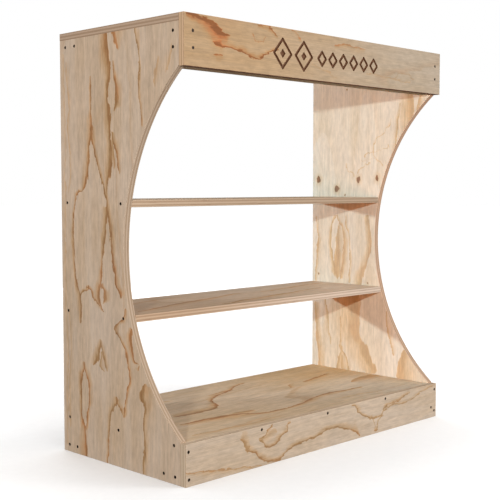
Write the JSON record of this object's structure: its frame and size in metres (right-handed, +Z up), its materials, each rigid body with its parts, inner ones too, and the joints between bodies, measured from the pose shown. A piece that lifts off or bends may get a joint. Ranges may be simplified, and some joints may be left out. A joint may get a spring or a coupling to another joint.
{
  "type": "plywood display shelving unit",
  "caption": "Open-backed plywood display unit with concave-cut side panels, a deck and shelves, a top panel, a routed fascia board and a kick board, screwed together.",
  "frame": {"origin": "centre of the footprint, on the floor", "axes": "+Z up; +X along the width, to the right as seen from the front; +Y to the back, so the fascia board faces -Y"},
  "size_m": [1.066, 0.506, 1.143],
  "materials": {
    "plywood": "raw sheathing-grade pine plywood, unfinished, matte, with bare ply edges",
    "lumber": "raw construction lumber, planed, unfinished",
    "screw_steel": "dark phosphate-coated wood screws, matte"
  },
  "bodies": {
    "root": {"left_side_panel": "plywood", "right_side_panel": "plywood", "top_panel": "plywood", "fascia_board": "plywood", "kick_board": "plywood", "deck_panel": "plywood", "lower_shelf": "plywood", "upper_shelf": "plywood", "top_front_rail": "lumber", "top_rear_rail": "lumber", "base_front_rail": "lumber", "base_rear_rail": "lumber", "left_top_front_screws": "screw_steel", "left_top_rear_screws": "screw_steel", "left_upper_shelf_screws": "screw_steel", "left_lower_shelf_screws": "screw_steel", "left_deck_screws": "screw_steel", "left_base_front_screws": "screw_steel", "left_base_rear_screws": "screw_steel", "right_top_front_screws": "screw_steel", "right_top_rear_screws": "screw_steel", "right_upper_shelf_screws": "screw_steel", "right_lower_shelf_screws": "screw_steel", "right_deck_screws": "screw_steel", "right_base_front_screws": "screw_steel", "right_base_rear_screws": "screw_steel", "fascia_screws": "screw_steel", "kick_end_screws": "screw_steel", "kick_deck_screws": "screw_steel", "top_panel_screws": "screw_steel"}
  },
  "joints": []
}
